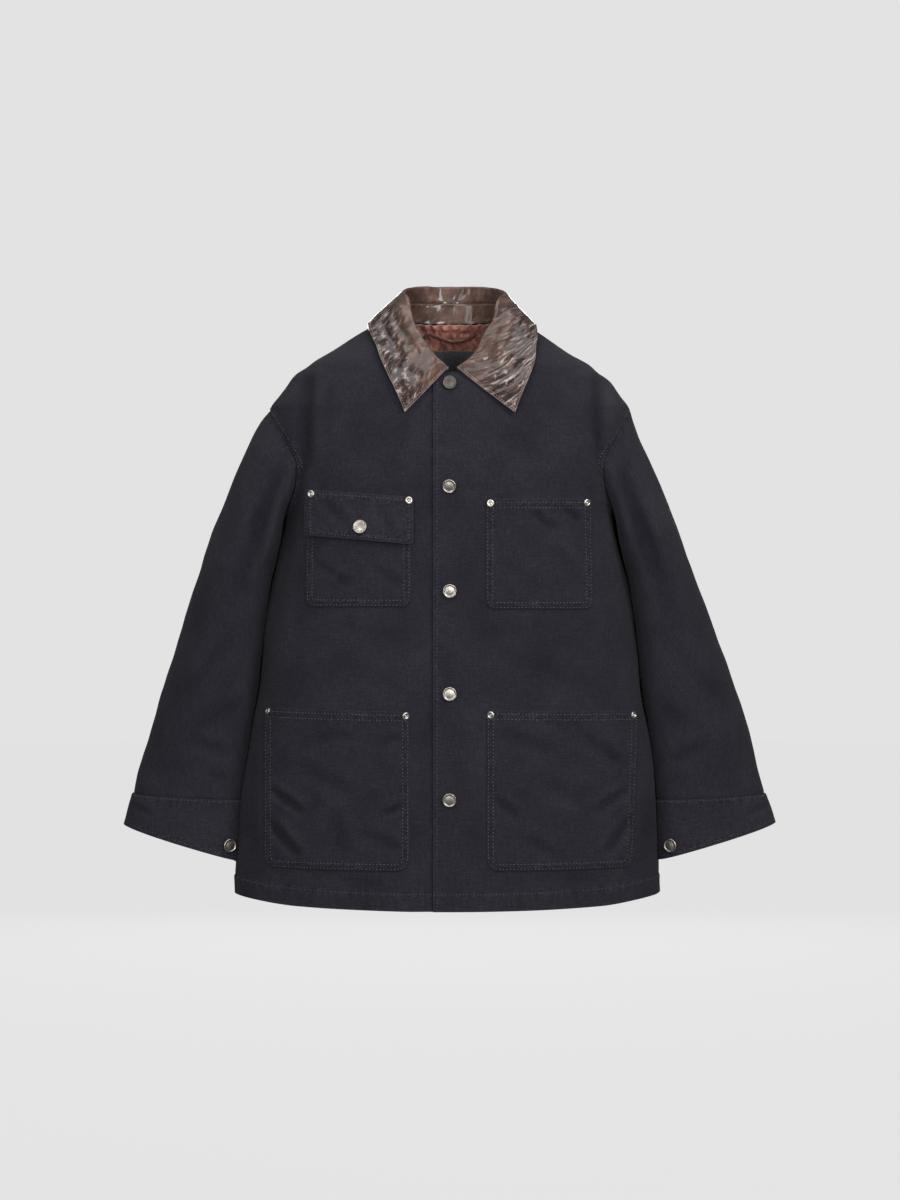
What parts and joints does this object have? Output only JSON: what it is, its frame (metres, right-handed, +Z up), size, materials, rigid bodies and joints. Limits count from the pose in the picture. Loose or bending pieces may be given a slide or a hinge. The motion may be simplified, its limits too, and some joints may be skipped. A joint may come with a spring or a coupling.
{
  "type": "chore jacket",
  "caption": "Hip-length canvas work jacket with a leather collar, patch pockets, metal buttons and rivets, in its worn shape with the neck, hem and cuffs open.",
  "frame": {"origin": "base of the neck in the middle of the jacket, level with the point where the shoulder line meets the collar", "axes": "+Z up, -Y the front, +X the wearer's left"},
  "size_m": [0.8612, 0.2813, 0.8172],
  "materials": {
    "cotton_canvas": "dark navy-grey cotton canvas, matt",
    "collar_leather": "worn brown leather, glossy and creased",
    "satin_lining": "rust-brown satin",
    "dark_tape": "plain dark woven tape",
    "aged_metal": "dulled silver-grey metal"
  },
  "bodies": {
    "root": {"back": "cotton_canvas", "back_lining": "satin_lining", "button_cuff_left": "aged_metal", "button_cuff_right": "aged_metal", "button_flap": "aged_metal", "button_front_1": "aged_metal", "button_front_2": "aged_metal", "button_front_3": "aged_metal", "button_front_4": "aged_metal", "button_front_5": "aged_metal", "collar_fall": "collar_leather", "collar_stand": "collar_leather", "cuff_left": "cotton_canvas", "cuff_right": "cotton_canvas", "flap_chest_right": "cotton_canvas", "front_left": "cotton_canvas", "front_right": "cotton_canvas", "hanger_loop": "satin_lining", "neck_label": "dark_tape", "pocket_chest_left": "cotton_canvas", "pocket_chest_right": "cotton_canvas", "pocket_lower_left": "cotton_canvas", "pocket_lower_right": "cotton_canvas", "rivet_chest_left_inner": "aged_metal", "rivet_chest_left_outer": "aged_metal", "rivet_chest_right_inner": "aged_metal", "rivet_chest_right_outer": "aged_metal", "rivet_lower_left_inner": "aged_metal", "rivet_lower_left_outer": "aged_metal", "rivet_lower_right_inner": "aged_metal", "rivet_lower_right_outer": "aged_metal", "sleeve_left": "cotton_canvas", "sleeve_right": "cotton_canvas"}
  },
  "joints": []
}
